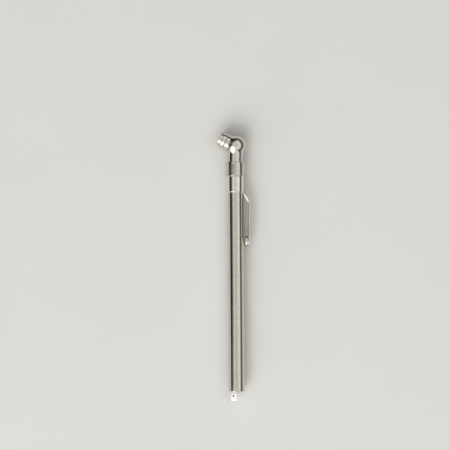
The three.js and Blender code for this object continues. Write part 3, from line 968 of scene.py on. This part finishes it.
def build_spring():
    """The calibrated spring, coiled between the ends of its CAD part."""
    low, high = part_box("compression_spring")
    wire = 0.25 * MM
    sides = 10
    mean = (high.z - low.z) / 2 - wire
    bm = bmesh.new()
    rows = []
    for turn, y in coil_turns(low.y, high.y, wire):
        angle = 2 * math.pi * turn
        outward = Vector((math.cos(angle), 0, math.sin(angle)))
        middle = outward * mean + Vector((0, y, 0))
        row = []
        for k in range(sides):
            a = 2 * math.pi * k / sides
            rise = Vector((0, wire * math.sin(a), 0))
            row.append(bm.verts.new(middle + outward * (wire * math.cos(a)) + rise))
        rows.append(row)
    for a, b in zip(rows, rows[1:]):
        for k in range(sides):
            n = (k + 1) % sides
            bm.faces.new((a[k], b[k], b[n], a[n]))
    bm.faces.new(rows[0])
    bm.faces.new(rows[-1])
    bm.transform(Matrix.Translation(BARREL))
    spring = new_object("gauge_spring", bm, SPRING_STEEL)
    place_piece(spring, "gauge", "spring_steel", "compression_spring")
    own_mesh(spring)


# ---- piston and the pieces kept from the CAD ----
def build_piston():
    """The turned piston, with two shallow grooves and the screw's hole."""
    low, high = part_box("piston_body")
    outer = radius_of("piston_body")
    edge = 0.3 * MM
    first_groove = 1.6 * MM
    groove_pitch = 1.4 * MM
    groove_width = 0.5 * MM
    groove_depth = 0.2 * MM
    groove_slope = 0.1 * MM
    hole = 0.85 * MM
    hole_end = high.y - 3.4 * MM
    profile = [(0, low.y), (outer - edge, low.y)]
    profile += arc(outer - edge, low.y + edge, edge, 270, 360, 6)
    for k in range(2):
        start = low.y + first_groove + groove_pitch * k
        end = start + groove_width
        profile += [(outer, start), (outer - groove_depth, start + groove_slope)]
        profile += [(outer - groove_depth, end - groove_slope), (outer, end)]
    profile += arc(outer - edge, high.y - edge, edge, 0, 90, 6)
    profile += [(hole, high.y), (hole, hole_end), (0, hole_end)]
    piston = lathe("brass_piston", profile, Matrix.Translation(BARREL), BRASS, FINE)
    place_piece(piston, "piston", "brass", "piston_body")


def build_cup():
    """The rubber cup, open towards the head, with a rounded lip."""
    low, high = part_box("piston_cup")
    outer = radius_of("piston_cup")
    heel = 0.6 * MM
    lip = 0.3 * MM
    hole = 0.95 * MM
    lip_bore = 3.75 * MM
    lip_inside = high.y - 0.1 * MM
    floor_r = 3.05 * MM
    floor_y = low.y + 1.2 * MM
    floor_fillet = 0.5 * MM
    profile = [(hole, low.y)]
    profile += arc(outer - heel, low.y + heel, heel, 270, 360, 8)
    profile += arc(outer - lip, high.y - lip, lip, 0, 90, 6)
    profile += [(lip_bore, lip_inside), (floor_r + floor_fillet, floor_y + floor_fillet)]
    profile += arc(floor_r, floor_y + floor_fillet, floor_fillet, 0, -90, 6)
    profile += [(hole, floor_y)]
    cup = lathe("cup_seal", profile, Matrix.Translation(BARREL), RUBBER, FINE)
    place_piece(cup, "piston", "rubber", "piston_cup")


def repaint(node, material):
    """Gives a kept CAD node its finished material."""
    mesh = frame["nodes"][node].data
    mesh.materials.clear()
    mesh.materials.append(material)


build_barrel()
build_collar()
build_head()
build_chuck_parts()
build_band()
build_clip_arm()
build_bar()
build_scale("psi_scale_front", 1, PSI, 10, 70, 2, 10)
build_scale("psi_scale_back", 3, PSI, 10, 70, 2, 10)
build_scale("kpa_scale_left", 2, KPA, 60, 500, 20, 100)
build_scale("kpa_scale_right", 4, KPA, 60, 500, 20, 100)
build_spring()
build_piston()
build_cup()
repaint("end_guide", GUIDE_NYLON)
repaint("friction_washer", RUBBER)
repaint("head_gasket", FIBRE)
repaint("cup_washer", BRASS)
repaint("piston_screw", STEEL)


# ---- floor, light and camera ----
WARM_WHITE = (1.0, 0.985, 0.95)

# The studio tent: (height of the direction, brightness), one for each side of the gauge.
LEFT_TENT = (
    (0.0, 0.45), (0.045, 0.42), (0.08, 0.006), (0.28, 0.018), (0.42, 0.045), (0.6, 0.11),
    (0.75, 0.56), (0.88, 0.84), (1.0, 0.7),
)
RIGHT_TENT = (
    (0.0, 0.45), (0.045, 0.42), (0.08, 0.2), (0.13, 0.34), (0.22, 0.12), (0.38, 0.03), (0.5, 0.36),
    (0.66, 0.94), (0.88, 0.96), (1.0, 0.7),
)


def build_floor():
    """A plain pale matt floor, just below the gauge."""
    half_size = 3.0
    drop = 0.02 * MM
    tone_scale = 0.02
    signs = ((-1, -1), (1, -1), (1, 1), (-1, 1))
    bm = bmesh.new()
    bm.faces.new([bm.verts.new((half_size * sx, half_size * sy, -drop)) for sx, sy in signs])
    material, tree, shader = node_material("pale_floor")
    grain = stretched_noise(tree, tone_scale, EVEN, detail=3.0)
    tone = mottled(tree, grain, dark=(0.69, 0.685, 0.67), light=(0.7, 0.695, 0.68))
    tree.links.new(tone, shader.inputs["Base Color"])
    shader.inputs["Roughness"].default_value = 0.9
    shader.inputs["Specular IOR Level"].default_value = 0.1
    new_object("floor", bm, material)


def tent_ramp(tree, height, stops):
    """Warm white of the brightness that the stops give at each height."""
    colours = [(position, [level * part for part in WARM_WHITE]) for position, level in stops]
    return ramp(tree, height, colours, "EASE")


def smooth_step(tree, value, start, end, top=1.0):
    """Rises smoothly from 0 where value is start to top where it is end."""
    node = tree.nodes.new("ShaderNodeMapRange")
    node.interpolation_type = "SMOOTHSTEP"
    node.inputs["From Min"].default_value = start
    node.inputs["From Max"].default_value = end
    node.inputs["To Max"].default_value = top
    tree.links.new(value, node.inputs["Value"])
    return node.outputs["Result"]


def mix_colours(tree, blend_type, first, second):
    """A mix node of two colours, with its factor left at 1."""
    first_colour = 6
    second_colour = 7
    node = tree.nodes.new("ShaderNodeMix")
    node.data_type = "RGBA"
    node.blend_type = blend_type
    node.inputs["Factor"].default_value = 1.0
    tree.links.new(first, node.inputs[first_colour])
    tree.links.new(second, node.inputs[second_colour])
    return node


def build_world():
    """A soft tent: bright overhead, darker towards its foot, the left side darker than the right."""
    mixed_colour = 2
    side_blend = 0.25
    window_towards = Vector((-0.6, -0.62, 0.5)).normalized()
    window_edge = 0.8
    window_core = 0.96
    window_brightness = 1.8
    world = bpy.data.worlds.new("studio")
    bpy.context.scene.world = world
    world.use_nodes = True
    tree = world.node_tree
    background = tree.nodes["Background"]
    coords = tree.nodes.new("ShaderNodeTexCoord")
    parts = tree.nodes.new("ShaderNodeSeparateXYZ")
    tree.links.new(coords.outputs["Generated"], parts.inputs["Vector"])
    left = tent_ramp(tree, parts.outputs["Z"], LEFT_TENT)
    right = tent_ramp(tree, parts.outputs["Z"], RIGHT_TENT)
    tent = mix_colours(tree, "MIX", left, right)
    side = smooth_step(tree, parts.outputs["X"], -side_blend, side_blend)
    tree.links.new(side, tent.inputs["Factor"])
    window = tree.nodes.new("ShaderNodeVectorMath")
    window.operation = "DOT_PRODUCT"
    window.inputs[1].default_value = window_towards
    tree.links.new(coords.outputs["Generated"], window.inputs[0])
    glow = smooth_step(tree, window.outputs["Value"], window_edge, window_core, window_brightness)
    total = mix_colours(tree, "ADD", tent.outputs[mixed_colour], glow)
    tree.links.new(total.outputs[mixed_colour], background.inputs["Color"])


def add_softbox(name, place, target, width, height, power):
    """A soft rectangular light that polished metal doesn't show."""
    light = bpy.data.lights.new(name, "AREA")
    light.shape = "RECTANGLE"
    light.size = width
    light.size_y = height
    light.energy = power
    light.color = (1.0, 0.985, 0.955)
    holder = bpy.data.objects.new(name, light)
    bpy.context.scene.collection.objects.link(holder)
    holder.visible_glossy = False
    holder.location = place
    holder.rotation_mode = "QUATERNION"
    holder.rotation_quaternion = (Vector(target) - Vector(place)).to_track_quat("-Z", "Y")


def build_camera():
    """Straight down on the gauge as it lies, framed as in the photograph."""
    framed_width = 0.2624
    distance = 1.0
    sensor = 36.0
    aim_aside = -6.26 * MM
    aim_from_tail = 96.9 * MM
    lean_slope = 0.0069
    target = Vector((BARREL.x + aim_aside, TAIL_Y + aim_from_tail, BARREL.z))
    camera = bpy.data.cameras.new("camera")
    camera.sensor_width = sensor
    camera.lens = sensor * distance / framed_width
    camera.clip_start = 0.05
    camera.clip_end = 10.0
    holder = bpy.data.objects.new("camera", camera)
    bpy.context.scene.collection.objects.link(holder)
    holder.location = target + Vector((0, 0, distance))
    holder.rotation_euler = (0, 0, -math.atan(lean_slope))
    bpy.context.scene.camera = holder


build_floor()
build_world()
add_softbox("key", place=(-0.4, -1.6, 1.25), target=(0, 0, 0), width=1.7, height=1.3, power=23)
build_camera()
bpy.context.scene.view_settings.view_transform = "Standard"
